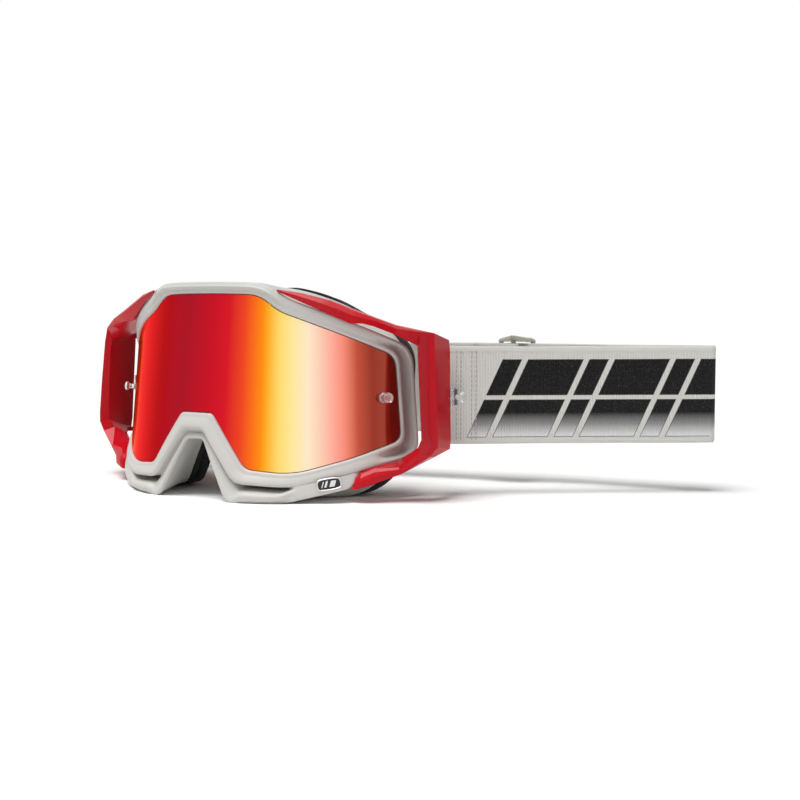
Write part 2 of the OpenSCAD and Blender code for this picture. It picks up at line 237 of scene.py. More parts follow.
# ---------------------------------------------------------------- materials
class Shader:
    """A node tree with short ways to add and join nodes."""

    def __init__(self, tree):
        self.tree = tree

    def node(self, kind, **settings):
        made = self.tree.nodes.new(kind)
        for key, value in settings.items():
            setattr(made, key, value)
        return made

    def put(self, value, socket):
        if isinstance(value, bpy.types.NodeSocket):
            self.tree.links.new(value, socket)
        else:
            socket.default_value = value

    def math(self, operation, a, b=0.0, clamp=False):
        made = self.node("ShaderNodeMath", operation=operation, use_clamp=clamp)
        self.put(a, made.inputs[0])
        self.put(b, made.inputs[1])
        return made.outputs[0]

    def plus(self, a, b, clamp=False):
        return self.math("ADD", a, b, clamp)

    def minus(self, a, b, clamp=False):
        return self.math("SUBTRACT", a, b, clamp)

    def times(self, a, b, clamp=False):
        return self.math("MULTIPLY", a, b, clamp)

    def apart(self, a, b):
        return self.math("ABSOLUTE", self.minus(a, b))

    def ramp(self, value, stops):
        made = self.node("ShaderNodeValToRGB")
        elements = made.color_ramp.elements
        for at, colour in stops[len(elements):]:
            elements.new(at)
        for element, (at, colour) in zip(elements, stops):
            element.position = at
            element.color = (*colour, 1.0)
        self.put(value, made.inputs[0])
        return made.outputs[0]

    def blend(self, factor, a, b):
        made = self.node("ShaderNodeMix", data_type="RGBA")
        self.put(factor, made.inputs[0])
        self.put(a, made.inputs[6])
        self.put(b, made.inputs[7])
        return made.outputs[2]

    def noise(self, vector, scale, detail=3.0, roughness=0.5):
        made = self.node("ShaderNodeTexNoise")
        self.put(vector, made.inputs["Vector"])
        self.put(scale, made.inputs["Scale"])
        self.put(detail, made.inputs["Detail"])
        self.put(roughness, made.inputs["Roughness"])
        return made.outputs[0]

    def bump(self, height, distance):
        made = self.node("ShaderNodeBump")
        self.put(height, made.inputs["Height"])
        made.inputs["Distance"].default_value = distance
        made.inputs["Strength"].default_value = 1.0
        return made.outputs[0]

    def object_place(self):
        return self.node("ShaderNodeTexCoord").outputs["Object"]

    def group(self, tree, **inputs):
        made = self.node("ShaderNodeGroup", node_tree=tree)
        for key, value in inputs.items():
            self.put(value, made.inputs[key])
        return made.outputs


def material(name, **settings):
    """A Principled material; gives the material, its shader tree and its Principled node."""
    made = bpy.data.materials.new(name)
    made.use_nodes = True
    main = made.node_tree.nodes["Principled BSDF"]
    for key, value in settings.items():
        main.inputs[key.replace("_", " ")].default_value = value
    return made, Shader(made.node_tree), main


def new_group(name, inputs, outputs):
    """An empty shader group; gives it, its shader tree, its inputs and its outputs."""
    tree = bpy.data.node_groups.new(name, "ShaderNodeTree")
    for key, default in inputs:
        kind = "NodeSocketVector" if key == "Vector" else "NodeSocketFloat"
        made = tree.interface.new_socket(key, in_out="INPUT", socket_type=kind)
        if key != "Vector":
            made.default_value = default
    for key in outputs:
        tree.interface.new_socket(key, in_out="OUTPUT", socket_type="NodeSocketFloat")
    shader = Shader(tree)
    return tree, shader, shader.node("NodeGroupInput").outputs, shader.node("NodeGroupOutput").inputs


def grain_group():
    """Fine moulding grain, with a soft larger unevenness and a patchy mask."""
    tree, s, given, out = new_group("moulding_grain", [("Vector", None), ("Fine", 900.0), ("Broad", 30.0)],
                                    ["Height", "Mask"])
    fine = s.noise(given["Vector"], given["Fine"], 2.0)
    broad = s.noise(given["Vector"], given["Broad"], 2.0)
    s.put(s.plus(s.times(fine, 0.35), broad), out["Height"])
    s.put(broad, out["Mask"])
    return tree


def fibre_group():
    """Open pores and short fibres, for foam and fleece."""
    tree, s, given, out = new_group("pores_and_fibres", [("Vector", None), ("Pores", 700.0),
                                                         ("Fibres", 1800.0)], ["Height", "Mask"])
    cells = s.node("ShaderNodeTexVoronoi")
    s.put(given["Vector"], cells.inputs["Vector"])
    s.put(given["Pores"], cells.inputs["Scale"])
    fibres = s.noise(given["Vector"], given["Fibres"], 4.0, 0.7)
    s.put(s.plus(cells.outputs["Distance"], s.times(fibres, 0.6)), out["Height"])
    s.put(fibres, out["Mask"])
    return tree


GRAIN = grain_group()
FIBRE = fibre_group()


def moulded(name, colour, darker, roughness, fine=900.0, bump=0.00004, **settings):
    """A moulded plastic with slight patches of tone, grain and uneven gloss."""
    made, s, main = material(name, **settings)
    grain = s.group(GRAIN, Vector=s.object_place(), Fine=fine, Broad=45.0)
    s.put(s.blend(grain["Mask"], (*darker, 1.0), (*colour, 1.0)), main.inputs["Base Color"])
    gloss = s.plus(s.times(grain["Mask"], 0.12), roughness - 0.06)
    s.put(gloss, main.inputs["Roughness"])
    s.put(s.bump(grain["Height"], bump), main.inputs["Normal"])
    return made


def soft_black(name, colour, pores, fibres, depth, sheen):
    """Foam or fleece."""
    made, s, main = material(name, Roughness=1.0, Sheen_Weight=sheen, Sheen_Roughness=0.5)
    main.inputs["Sheen Tint"].default_value = (0.6, 0.6, 0.62, 1.0)
    main.inputs["Specular IOR Level"].default_value = 0.15
    fibre = s.group(FIBRE, Vector=s.object_place(), Pores=pores, Fibres=fibres)
    light = tuple(c * 2.2 for c in colour)
    s.put(s.blend(fibre["Mask"], (*colour, 1.0), (*light, 1.0)), main.inputs["Base Color"])
    s.put(s.bump(fibre["Height"], depth), main.inputs["Normal"])
    return made


def screen(r, g, b):
    """A colour as a screen shows it, from 0 to 255, turned into linear light."""
    return tuple(((c / 255 + 0.055) / 1.055) ** 2.4 if c > 10 else c / 255 / 12.92 for c in (r, g, b))


# The mirror's colour along the lens curve, by arc from the middle: the deep reds are the coating's own
# colour, and the orange, yellow, cream and rose stops are painted reflection of the studio light in the
# mirror
COATED_ARC = 200.0
LENS_COLOURS_AND_REFLECTIONS = [(-98, (255, 150, 40)), (-84, (255, 140, 30)), (-66, (255, 118, 26)), (-52, (250, 62, 30)),
                (-40, (220, 26, 38)), (-28, (180, 23, 36)), (-9, (172, 22, 38)), (6, (200, 20, 38)),
                (15, (216, 26, 40)), (23, (238, 70, 36)), (28, (250, 110, 28)), (32, (255, 140, 20)),
                (35, (255, 176, 40)), (40, (255, 217, 108)), (46, (255, 232, 155)), (53, (254, 233, 200)),
                (58, (254, 208, 182)), (64, (255, 172, 155)), (69, (248, 142, 120)), (75, (196, 84, 62)),
                (82, (152, 58, 44)), (98, (180, 84, 66))]


def lens_mirror():
    """A red mirror coating whose colour runs through orange, yellow and rose round the curve; the red is
    the coating's own, and the other colours are painted reflection of the studio light.
    """
    made, s, main = material("lens_mirror", Metallic=0.85, Specular_IOR_Level=0.25,
                             Specular_Tint=(1.0, 0.30, 0.24, 1.0))
    split = s.node("ShaderNodeSeparateXYZ")
    s.put(s.object_place(), split.inputs[0])
    across, back = split.outputs[0], split.outputs[1]
    turn = s.math("ARCTAN2", across, s.minus(LENS_R * MM, back))
    place_on_arc = s.plus(s.times(turn, LENS_R / COATED_ARC), 0.5)
    # Painted reflection: the ramp's orange, yellow, cream and rose stand for studio light seen in the
    # mirror, laid in as the base colour by place on the curve
    stops = [(0.5 + arc / COATED_ARC, screen(*colour)) for arc, colour in LENS_COLOURS_AND_REFLECTIONS]
    s.put(s.ramp(place_on_arc, stops), main.inputs["Base Color"])
    smear = s.noise(s.object_place(), 60.0, 4.0, 0.6)
    s.put(s.plus(s.times(smear, 0.06), 0.10), main.inputs["Roughness"])
    return made


def clear_plastic():
    """Clear, slightly blue plastic with a faint haze."""
    made, s, main = material("clear_plastic", Transmission_Weight=0.9, IOR=1.3)
    grain = s.group(GRAIN, Vector=s.object_place(), Fine=1200.0, Broad=200.0)
    tint = (0.97, 0.98, 1.0)
    s.put(s.blend(grain["Mask"], (*[c * 0.93 for c in tint], 1.0), (*tint, 1.0)), main.inputs["Base Color"])
    s.put(s.times(grain["Mask"], 0.12), main.inputs["Roughness"])
    return made


STRAP_W, STRAP_T = 45.0, 1.6
SELVEDGE_W, RIB_PITCH, ROW_PITCH = 2.6, 1.25, 0.6
# The print: slanted bars in a beat along the strap, split by one plain line
PRINT_SLANT, PRINT_START, PRINT_END, PRINT_BEAT = 0.46, 53.0, 166.5, 40.3
PRINT_BARS = ((0.0, 9.0), (11.8, 37.6))
PRINT_MIDDLE, PRINT_HALF_H, SPLIT_AT, SPLIT_HALF = 21.0, 18.0, 21.4, 1.0


def webbing(name, printed):
    """Ribbed elastic webbing. u is the length along it and v the height, both in millimetres."""
    made, s, main = material(name, Roughness=0.85, Sheen_Weight=0.08, Sheen_Roughness=0.4)
    main.inputs["Specular IOR Level"].default_value = 0.2
    split = s.node("ShaderNodeSeparateXYZ")
    s.put(s.node("ShaderNodeUVMap", uv_map="along").outputs[0], split.inputs[0])
    u, v = split.outputs[0], split.outputs[1]
    rib = s.math("ABSOLUTE", s.math("SINE", s.times(u, math.pi / RIB_PITCH)))
    row = s.math("ABSOLUTE", s.math("SINE", s.times(v, math.pi / ROW_PITCH)))
    yarn = s.noise(s.object_place(), 2500.0, 3.0)
    from_middle = s.apart(v, STRAP_W / 2)
    inner = s.minus(1.0, s.math("GREATER_THAN", from_middle, STRAP_W / 2 - SELVEDGE_W))
    weave = s.plus(s.times(s.times(rib, inner), 0.8), s.times(row, 0.5))
    height = s.plus(weave, s.times(yarn, 0.5))
    # Painted shade: the colour is darker in the dips between ribs and rows of the weave, where they would
    # be shaded, with random yarn tone on top
    weave_shade_and_yarn_tone = s.plus(s.times(weave, 0.28), s.times(yarn, 0.5), clamp=True)
    cloth = s.blend(weave_shade_and_yarn_tone, (0.60, 0.595, 0.555, 1.0), (0.80, 0.79, 0.745, 1.0))
    if printed:
        slanted = s.minus(u, s.times(s.minus(v, STRAP_W / 2), PRINT_SLANT))
        beat = s.math("MODULO", s.minus(slanted, PRINT_START), PRINT_BEAT)
        printed_run = s.times(s.math("GREATER_THAN", slanted, PRINT_START),
                              s.math("LESS_THAN", slanted, PRINT_END))
        shape = 0.0
        for first, last in PRINT_BARS:
            half, middle = (last - first) / 2, (last + first) / 2
            inside = s.minus(half, s.apart(beat, middle))
            shape = s.math("MAXIMUM", shape, inside) if shape else inside
        band = s.minus(PRINT_HALF_H, s.apart(v, PRINT_MIDDLE))
        gap = s.minus(s.apart(v, SPLIT_AT), SPLIT_HALF)
        depth = s.math("MINIMUM", s.math("MINIMUM", shape, band), gap)
        mask = s.times(s.plus(depth, 0.1), 6.0, clamp=True)
        edge = s.minus(1.0, s.times(s.minus(depth, 0.25), 6.0, clamp=True))
        greys = [(0.0, 0.75), (0.09, 0.75), (0.20, 0.30), (0.32, 0.006), (1.0, 0.003)]
        fade = s.ramp(s.math("DIVIDE", v, STRAP_W), [(at, (grey,) * 3) for at, grey in greys])
        outlined = s.blend(s.times(edge, 0.8), fade, (0.05, 0.05, 0.05, 1.0))
        worn = s.minus(mask, s.times(s.minus(yarn, 0.55, clamp=True), 0.5))
        cloth = s.blend(s.times(worn, printed_run), cloth, outlined)
    s.put(cloth, main.inputs["Base Color"])
    s.put(s.bump(height, 0.0003), main.inputs["Normal"])
    return made


FRAME_PLASTIC = moulded("frame_plastic", (0.585, 0.585, 0.56), (0.535, 0.535, 0.51), 0.42,
                        Specular_IOR_Level=0.3)
RED_PLASTIC = moulded("red_plastic", (0.54, 0.0045, 0.015), (0.46, 0.004, 0.012), 0.24, 500.0, 0.00002,
                      Specular_IOR_Level=0.16)
SLIDER_PLASTIC = moulded("slider_plastic", (0.62, 0.60, 0.50), (0.54, 0.52, 0.42), 0.30,
                         Transmission_Weight=0.25)
GASKET_RUBBER = moulded("gasket_rubber", (0.02, 0.02, 0.02), (0.012, 0.012, 0.012), 0.7)
GRIP_RUBBER = moulded("grip_silicone", (0.70, 0.70, 0.68), (0.6, 0.6, 0.58), 0.35)
BADGE_BLACK = moulded("badge_black", (0.012, 0.012, 0.013), (0.008, 0.008, 0.008), 0.2)
BADGE_SILVER = moulded("badge_silver", (0.80, 0.80, 0.82), (0.62, 0.62, 0.64), 0.28, Metallic=0.9)
FOAM_BLACK = soft_black("foam_black", (0.012, 0.012, 0.012), 900.0, 2200.0, 0.0003, 0.15)
FLEECE_BLACK = soft_black("fleece_black", (0.016, 0.016, 0.017), 400.0, 3000.0, 0.0004, 0.5)
VENT_FOAM = soft_black("vent_foam", (0.015, 0.015, 0.015), 650.0, 1500.0, 0.0005, 0.1)
LENS_MIRROR = lens_mirror()
CLEAR = clear_plastic()
WEBBING_PRINTED = webbing("webbing_printed", True)
WEBBING_PLAIN = webbing("webbing_plain", False)
THREAD = soft_black("thread", (0.27, 0.27, 0.25), 2000.0, 4000.0, 0.0001, 0.1)


# ---------------------------------------------------------------- frame
SEAT_W, GASKET_T, LENS_GAP = 3.0, 0.8, 0.3
SEAT = LENS_T + LENS_GAP


def band_rise(p):
    """How far the front band swells between its two edges: out at the brow, in at the sides."""
    side = step(84, 96, abs(p[0])) * step(-40, -34, p[1])
    brow = step(44, 30, abs(p[0])) * step(15, 25, p[1])
    return -5.2 * side + 1.1 * brow + 0.15 * (1 - side) * (1 - brow)


def cheek(p):
    """1 on the cheek pad, where the groove under the lens band closes."""
    return step(45.5, 49.5, abs(p[0])) * step(82, 77, abs(p[0])) * step(-36, -40, p[1])


def slot(p):
    """1 along the open slit beside the nose."""
    return step(23, 28, abs(p[0])) * step(51, 46, abs(p[0])) * step(-49, -51, p[1])


def plate_gap(p):
    """1 along the dark gap above the lower arm's end plate."""
    return step(80, 84, abs(p[0])) * step(104, 100, abs(p[0])) * step(-30, -35, p[1])


def band_row(share):
    """A row part of the way from the lens lip to the rim."""
    inner, outer = traced(LENS_EDGE, 1.9, 1.3), traced(RIM_EDGE, -1.6, 0.0)
    row = []
    for a, b in zip(inner, outer):
        p = mix(a, b, share)
        swell = band_rise(p) * math.sin(math.pi * share)
        row.append(on_lens(p + Vector((0, 0, swell))))
    return row


def behind_plate(p):
    """1 where the shelf draws back behind the lower arm's end plate."""
    return step(74, 79, abs(p[0])) * step(108, 100, abs(p[0])) * step(-38, -44, p[1])


def groove_row(share, deep):
    """A row part of the way from the groove to the lower shelf."""
    row = []
    for a, b in zip(traced(GROOVE_EDGE), traced(SHELF_EDGE)):
        p = mix(a, b, share)
        p.y += 2.6 * share * behind_plate(p)
        brow = step(44, 30, abs(p[0])) * step(15, 25, p[1])
        cut = deep * (1.0 - brow) * (0.5 + 13.0 * slot(p) + 4.0 * plate_gap(p))
        p.z += mix(-cut, 1.8 - p.z + 0.9 * share, cheek(p))
        row.append(on_lens(p))
    return row


def shelf_row(d, n):
    """The front outline of the lower shelf, grown by d and moved out by n."""
    row = []
    for p in traced(SHELF_EDGE, d, n):
        p.z = mix(p.z, 2.2 + n, cheek(p))
        p.y += 2.6 * behind_plate(p)
        row.append(on_lens(p))
    return row


def shelf_back_row(share, d=0.0, n=0.0):
    """A row between the shelf's front edge and its back edge."""
    row = []
    for a, b in zip(traced(SHELF_EDGE, d, n), traced(SHELF_BACK, d, n)):
        p = mix(a, b, share)
        p.y += 2.6 * behind_plate(p)
        row.append(on_lens(p))
    return row


def lens_row(half, d, n):
    """An outline round the lens, grown by d and moved out by n."""
    return [on_lens(p) for p in traced(half, d, n)]


def face_row(d, n):
    """The outline of the frame's back face, grown by d and moved back by n."""
    return [on_face(p) for p in traced(FACE_EDGE, d, n)]


def foam_row(d, n):
    """A row of the face foam, which swells above the outriggers' upper arms."""
    row = traced(FACE_EDGE, d, n)
    for p in row:
        p.y += 1.2 * step(20, 30, abs(p[0])) * step(54, 42, abs(p[0])) * step(15, 25, p[1])
    return [on_face(p) for p in row]


def make_frame():
    """One skin: lens lip, front band, rim, groove, lower shelf, face flange and lens seat."""
    bm = bmesh.new()
    rows = [[behind_lens(p, SEAT) for p in traced(LENS_EDGE)],
            lens_row(LENS_EDGE, 0.02, -0.3), lens_row(LENS_EDGE, 0.06, 0.35), lens_row(LENS_EDGE, 0.3, 1.0),
            lens_row(LENS_EDGE, 0.9, 1.45), band_row(0.0)]
    rows += [band_row(share) for share in (0.2, 0.4, 0.6, 0.8)]
    rows += [band_row(1.0), lens_row(RIM_EDGE, -0.7, -0.1), lens_row(RIM_EDGE, -0.1, -0.6),
             lens_row(RIM_EDGE, 0.05, -1.3),
             groove_row(0.0, 0.0), groove_row(0.02, 0.3), groove_row(0.04, 1.0), groove_row(0.19, 1.0),
             groove_row(0.21, 0.3), groove_row(0.26, 0.0), groove_row(0.6, -0.4),
             shelf_row(-0.9, 0.3), shelf_row(-0.15, -0.1), shelf_row(0.1, -1.2),
             shelf_back_row(0.5), shelf_back_row(1.0),
             face_row(-0.3, -2.4), face_row(0.0, -1.8), face_row(0.0, -0.3), face_row(-0.4, 0.0),
             face_row(-FOAM_W + 0.4, 0.0), face_row(-FOAM_W, -0.3), face_row(-FOAM_W, -1.7),
             face_row(-FOAM_W + 0.4, -2.0), face_row(-3.4, -2.0),
             shelf_back_row(1.0, -2.6, -1.5), lens_row(LENS_EDGE, 0.5, -6.8),
             lens_row(LENS_EDGE, -SEAT_W, -4.8), lens_row(LENS_EDGE, -SEAT_W, -SEAT - GASKET_T),
             lens_row(LENS_EDGE, -0.5, -SEAT - GASKET_T), lens_row(LENS_EDGE, -0.5, -SEAT)]
    bridge_rows(bm, rows, round_again=True)
    for v in bm.verts:
        v.co.z = max(v.co.z, 0.0)
    shell = finish_mesh(bm, "frame_shell", FRAME_PLASTIC)
    subdivided(shell, 1)
    place(shell, ROOT, "frame", "frame")


LENS_COLUMNS, LENS_ROWS = 180, 8


def lens_column(s):
    """Points up the lens at one arc, between its lower and upper edges."""
    ring = traced(LENS_EDGE, -LENS_GAP)
    heights = []
    for a, b in zip(ring, ring[1:] + ring[:1]):
        if (a.x - s) * (b.x - s) <= 0 and a.x != b.x:
            heights.append(a.y + (b.y - a.y) * (s - a.x) / (b.x - a.x))
    low, high = min(heights), max(heights)
    return [on_lens((s, low + (high - low) * k / LENS_ROWS, 0.0)) for k in range(LENS_ROWS + 1)]


def make_lens():
    """A curved sheet whose columns stand closer together towards its ends."""
    bm = bmesh.new()
    end = max(p.x for p in traced(LENS_EDGE, -LENS_GAP)) - 0.02
    turns = [math.pi / 2 * (2 * i / LENS_COLUMNS - 1) for i in range(LENS_COLUMNS + 1)]
    columns = [lens_column(end * math.sin(turn)) for turn in turns]
    bridge_rows(bm, columns, closed=False)
    lens = finish_mesh(bm, "mirror_lens", LENS_MIRROR)
    wall = lens.modifiers.new("wall", "SOLIDIFY")
    wall.thickness = LENS_T * MM
    wall.offset = -1.0
    rounded(lens, 0.25, 2, 40)
    place(lens, LENS_BODY, "lens", "lens")


SPIN_STEPS = 40


def spun(name, profile, where, axis, finish):
    """A turned piece: profile points are radius and height along the axis."""
    bm = bmesh.new()
    edges = loop(bm, [(r, 0.0, h) for r, h in profile], closed=False)
    bmesh.ops.spin(bm, geom=edges + bm.verts[:], cent=(0, 0, 0), axis=(0, 0, 1), angle=2 * math.pi,
                   steps=SPIN_STEPS, use_merge=True)
    bmesh.ops.remove_doubles(bm, verts=bm.verts[:], dist=1e-7)
    turn = Vector((0, 0, 1)).rotation_difference(Vector(axis)).to_matrix().to_4x4()
    bmesh.ops.transform(bm, matrix=Matrix.Translation(Vector(where) * MM) @ turn, verts=bm.verts[:])
    return finish_mesh(bm, name, finish)


POST_ARC, POST_UP, POST_H, HEAD_R, STEM_R = 88.5, -10.0, 6.5, 2.2, 1.3


def head_profile(base, top):
    """A post's neck and mushroom head, from the base height to the top."""
    return [(STEM_R, base), (STEM_R - 0.15, (base + top) / 2 - 0.5), (STEM_R, top - 2.0),
            (HEAD_R - 0.3, top - 1.8), (HEAD_R, top - 1.5), (HEAD_R, top - 0.7),
            (HEAD_R - 0.5, top - 0.15), (0.8, top), (0.0, top)]


def make_posts():
    """The tear-off posts through the lens, and the washers that hold them behind it."""
    for side, name in SIDES:
        foot = on_lens((side * POST_ARC, POST_UP, 0.0))
        out = (on_lens((side * POST_ARC, POST_UP, 1.0)) - foot).normalized()
        profile = [(0.0, -LENS_T - 1.0), (STEM_R, -LENS_T - 1.0), (STEM_R, 0.05), (2.5, 0.05), (2.6, 0.3),
                   (2.4, 0.9), (1.7, 1.15)] + head_profile(1.4, POST_H)
        post = spun("lens_post_" + name, profile, foot, out, CLEAR)
        place(post, LENS_BODY, "clear", "tear_off_post_" + name)
        profile = [(r, -LENS_T - h) for r, h in ((1.4, 0.1), (2.7, 0.1), (2.8, 0.3), (2.8, 0.9),
                                                 (2.6, 1.05), (1.4, 1.05), (1.4, 0.1))]
        washer = spun("lens_washer_" + name, profile, foot, out, CLEAR)
        place(washer, LENS_BODY, "clear", "post_washer_" + name)


# ---------------------------------------------------------------- outriggers
def lens_points(*rows):
    """Rows of places given by arc, height and offset from the lens."""
    return [[on_lens(p) for p in row] for row in rows]


def own_points(*rows):
    """Rows of places given in the outrigger's own numbers."""
    return [[up(*p) for p in row] for row in rows]


# Seven corners each: front ridge, upper front, top, rear outer, rear inner, middle inner, front inner
OUTRIGGER = lens_points(
    [(37.2, 34.6, 2.8), (37.2, 34.8, 2.6), (37.2, 34.9, 2.2), (37.2, 34.7, 1.4), (37.2, 34.2, 1.4),
     (37.2, 34.0, 1.8), (37.2, 34.1, 2.4)],
    [(47.9, 31.9, 4.2), (48.0, 33.4, 3.4), (48.2, 33.9, 2.2), (48.6, 33.4, -1), (48.6, 31.6, -1),
     (48.4, 30.8, 0.8), (48, 29.8, 2.4)],
    [(60.7, 28.4, 6.2), (61, 31, 4.2), (61.3, 31.5, 2.4), (62.5, 31, -2.4), (62.5, 28.6, -2.4),
     (61.8, 26.6, 0.2), (61, 25.0, 2.8)],
    [(69.2, 25.2, 9.4), (69.6, 27.6, 7.6), (70.5, 28.4, 4.6), (73, 28.2, -3), (73, 25.8, -3),
     (71.6, 24, 1.2), (70, 21.6, 4.2)],
    [(74.0, 23.8, 11.6), (74.4, 25.9, 9.8), (75.4, 26.8, 6), (78.6, 26.6, -3), (78.6, 24.4, -3),
     (76.2, 22.6, 2.6), (74.4, 21.8, 7.6)],
    [(78.6, 22.9, 13.4), (78.9, 24.4, 11.6), (80, 25.2, 7), (84, 25.2, -3), (84, 23, -3),
     (81, 22.0, 3.6), (78.6, 20.9, 9.4)],
    [(85.8, 20.2, 16.4), (86.6, 21.8, 14), (88.5, 22.6, 9), (94, 22.2, 0), (93.6, 19.9, -0.4),
     (90.6, 19.0, 4.6), (87, 18.3, 10)]) + own_points(
    [(95.3, 36.6, 15.2), (97.0, 41.0, 15.0), (98.8, 43.2, 14.6), (98.2, 57.0, 11.2), (95, 57.2, 10.6),
     (93.8, 48, 9), (93.0, 38, 9)],
    [(95.9, 35.4, 8), (96.9, 40.8, 8), (99.5, 42.2, 8.6), (98.6, 57.2, 6.8), (95.2, 57.3, 7),
     (94.3, 48, 4), (93.8, 37.2, 3)],
    [(97.2, 34, -12), (98, 39.8, -12.4), (100.8, 41.4, -13), (99.3, 56.2, -15), (96.1, 56.4, -15),
     (95.2, 47.6, -13.6), (94.7, 37, -12.4)],
    [(98.4, 33.4, -28.6), (99.1, 39.2, -29.4), (101.9, 40.9, -29.6), (100.1, 55.7, -33), (96.9, 55.9, -33),
     (96.1, 47, -30.6), (95.6, 37, -28.2)],
    [(98.5, 33.5, -33.4), (99.6, 39, -34.8), (101.6, 41.4, -36), (100.0, 55, -38), (96.8, 54.8, -37.6),
     (95.8, 46, -35.6), (95.4, 37.6, -32.6)],
    [(96.4, 34, -38.2), (97.4, 37, -39.4), (98.4, 40, -40.4), (97, 47.2, -41), (91.6, 46.2, -40),
     (92, 42.4, -38), (93, 38.6, -36.4)]) + lens_points(
    [(92.5, -40.6, 11.5), (93, -41.6, 12), (93.6, -42.2, 12), (94.7, -43.6, 10), (97, -44, 2),
     (96.4, -41, 1.6), (95.4, -38, 3)],
    [(84.5, -41.8, 5.2), (84, -43.6, 6.8), (83.5, -45.6, 7.8), (82, -49.6, 7.2), (84, -50, 1),
     (85, -45, 1), (86, -41, 1.2)],
    [(79.0, -44.6, 4.2), (78.4, -46.6, 5.2), (78, -48.6, 5.4), (77.4, -51.4, 4.6), (79, -51.6, 1),
     (79.4, -47, 1), (79.6, -43.8, 1.2)],
    [(76.9, -46.6, 3.4), (76.6, -47.8, 3.8), (76.3, -49.6, 4), (75.9, -52, 3.4), (75.9, -52, 1),
     (76.3, -49.6, 1), (76.9, -46.6, 1)])
BAR_AT, BAR_R, BAR_ENDS = (88.5, 64.0), 2.0, (-39.6, 11.2)
BRIDGE_FROM, BRIDGE_FOOT_R, BRIDGE_H, INSIDE_BRIDGE = (96.2, 51.0), 2.2, 2.0, 0.6


def add_bridge(bm, z):
    """The arm from the panel's end to the strap bar, as a rounded slab."""
    start, end = Vector(BRIDGE_FROM), Vector(BAR_AT)
    way = (end - start).normalized()
    side = Vector((-way.y, way.x))
    outline = []
    for centre, radius, first in ((end, BAR_R + 0.4, -90), (start, BRIDGE_FOOT_R, 90)):
        for k in range(9):
            a = math.radians(first + k * 22.5)
            outline.append(centre + radius * (math.cos(a) * way + math.sin(a) * side))
    capped_rows(bm, [[up(p.x, p.y, level) for p in outline] for level in (z, z + BRIDGE_H)])


def make_outriggers():
    """Upper arm, side panel and lower arm in one skin, with two bridges and the strap bar."""
    for side, name in SIDES:
        bm = bmesh.new()
        capped_rows(bm, OUTRIGGER)
        add_bridge(bm, BAR_ENDS[0])
        add_bridge(bm, BAR_ENDS[1] - BRIDGE_H)
        turns = [k * math.pi / 16 for k in range(32)]
        capped_rows(bm, [[up(BAR_AT[0] + BAR_R * math.cos(a), BAR_AT[1] + BAR_R * math.sin(a), z)
                          for a in turns]
                         for z in (BAR_ENDS[0] + INSIDE_BRIDGE, BAR_ENDS[1] - INSIDE_BRIDGE)])
        to_side(bm, side)
        piece = finish_mesh(bm, "outrigger_shell_" + name, RED_PLASTIC)
        rounded(piece, 0.5, 3, 14)
        place(piece, ROOT, "outrigger", "outrigger_" + name)


TAB_AT = (95.6, 56.4, -14.6)


def slab(bm, low, high):
    """A box between two corners."""
    made = bmesh.ops.create_cube(bm, size=1.0)["verts"]
    size, middle = Vector(high) - Vector(low), (Vector(high) + Vector(low)) / 2
    bmesh.ops.scale(bm, vec=size * MM, verts=made)
    bmesh.ops.translate(bm, vec=middle * MM, verts=made)
    return made


def make_tab_posts():
    """A clear clip on each side panel, with a post like the lens posts."""
    for side, name in SIDES:
        origin = up(*TAB_AT)
        bm = bmesh.new()
        for low, high in (((0.2, 0.6, -4), (4.6, 3.6, 4)), ((4.6, -1.6, -4.5), (5.8, 3.6, 4.5))):
            slab(bm, origin + Vector(low), origin + Vector(high))
        for z in (-2.4, 0.0, 2.4):
            slab(bm, origin + Vector((1.0, -0.4, z - 0.5)), origin + Vector((4.6, 0.6, z + 0.5)))
        to_side(bm, side)
        piece = finish_mesh(bm, "tab_clip_" + name, CLEAR)
        rounded(piece, 0.25, 2, 30)
        place(piece, ROOT, "clear", "tab_post_" + name)
        foot = origin + Vector((5.8, 1.4, 0))
        foot.x *= side
        stud = spun("tab_stud_" + name, [(0.0, 0.0)] + head_profile(0.0, 4.6), foot, (side, 0, 0), CLEAR)
        place(stud, ROOT, "clear")


# ---------------------------------------------------------------- foams
# How fine and how deep the foams' unevenness is
FACE_LUMPS, FACE_LUMP_DEPTH = 180.0, 0.00018
VENT_LUMPS, VENT_LUMP_DEPTH = 300.0, 0.0002


def make_foams():
    """The three layers of face foam, each a ring a little narrower than the one before.

    A layer is near and far depth, inset, finish and slot. Half its section is a row of places,
    each out from its side and back from the face flange, and the other side mirrors it.
    """
    fleece_at = FOAM_T - FLEECE_T
    middle_at = fleece_at - fleece_at * 0.6
    swell = 0.35
    layers = (("base", 0.0, middle_at, 0.4, FOAM_BLACK, "foam"),
              ("middle", middle_at, fleece_at, 0.8, FOAM_BLACK, "foam"),
              ("fleece", fleece_at, FOAM_T, 1.2, FLEECE_BLACK, "fleece"))
    for name, near, far, inset, finish, slot_name in layers:
        bm = bmesh.new()
        mid = (near + far) / 2
        crown = 0.5 if name == "fleece" else 0.0
        half = [(-0.35, near + 0.1), (swell * 0.6, near + 0.5), (swell, mid), (swell * 0.5, far - 0.5),
                (-0.4, far), (-2.0, far + crown * 0.5)]
        rows = [foam_row(out - inset, n) for out, n in half] + [foam_row(-FOAM_W / 2, far + crown)]
        rows += [foam_row(inset - FOAM_W - out, n) for out, n in reversed(half)]
        bridge_rows(bm, rows, round_again=True)
        for v in bm.verts:
            v.co += noise.noise_vector(v.co * FACE_LUMPS) * FACE_LUMP_DEPTH
            v.co.z = max(v.co.z, 0.0)
        foam = finish_mesh(bm, "face_foam_" + name, finish)
        subdivided(foam, 1)
        place(foam, ROOT, slot_name, "foam_" + name)


